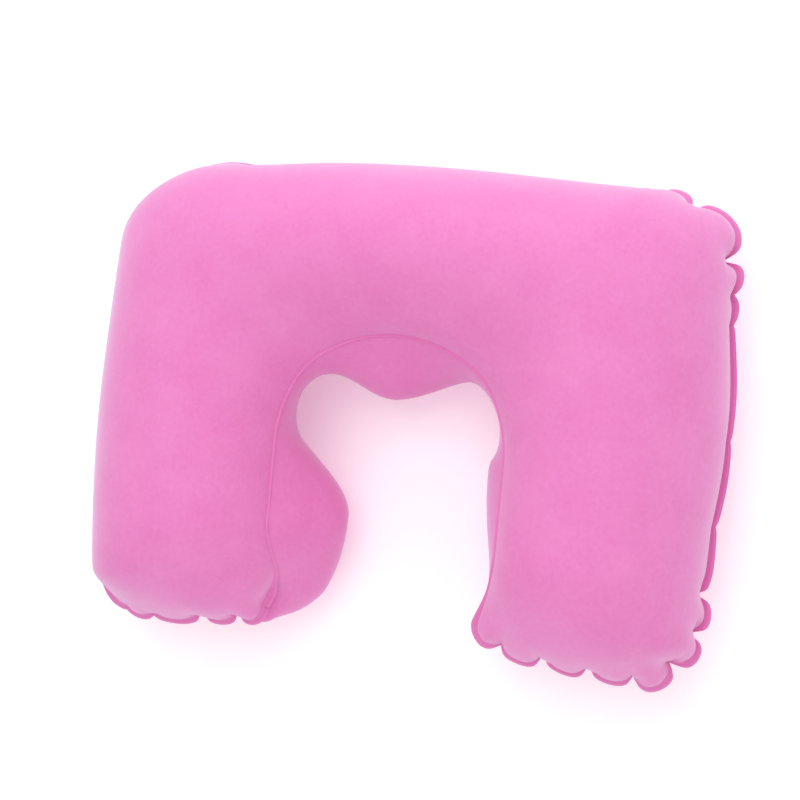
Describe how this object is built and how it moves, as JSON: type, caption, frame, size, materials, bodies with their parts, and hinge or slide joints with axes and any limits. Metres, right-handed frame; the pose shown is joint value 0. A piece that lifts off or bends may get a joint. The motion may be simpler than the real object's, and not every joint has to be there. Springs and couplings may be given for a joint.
{
  "type": "inflatable neck pillow",
  "caption": "U-shaped inflatable neck pillow of two flocked film panels welded round the edge, with a push-in stem valve and tethered stopper.",
  "frame": {"origin": "middle of the base of the whole pillow, on the surface that it rests on", "axes": "+X across the two arms, to the right seen from the front; +Y towards the closed end of the U; +Z out of the front panel, up when the pillow lies on its back panel"},
  "size_m": [0.3408, 0.2606, 0.11],
  "materials": {
    "flocked_film": "matte velvety flock on vinyl film",
    "valve_vinyl": "soft moulded vinyl, satin, slightly translucent"
  },
  "bodies": {
    "pillow": {"front_panel": "flocked_film", "back_panel": "flocked_film", "valve_flange": "valve_vinyl", "valve_diaphragm": "valve_vinyl"},
    "stem": {"valve_stem": "valve_vinyl", "stopper_tether": "valve_vinyl"},
    "flap": {"check_flap": "valve_vinyl"},
    "stopper_body": {"stopper": "valve_vinyl"}
  },
  "joints": [
    {"name": "stem_pull_out", "type": "slide", "parent": "pillow", "child": "stem", "axis": [-0.7431, 0, -0.6691], "range_m": [0, 0.01], "deforming": ["valve_diaphragm"]},
    {"name": "check_flap_open", "type": "hinge", "parent": "stem", "child": "flap", "pos_m": [-0.14278, -0.054, 0.02878], "axis": [0, -1, 0], "range_deg": [0, 40], "stiffness_Nm_per_rad": 0.0005},
    {"name": "stopper_pull", "type": "slide", "parent": "stem", "child": "stopper_body", "axis": [-0.7431, 0, -0.6691], "range_m": [0, 0.009], "deforming": ["stopper_tether"]}
  ]
}
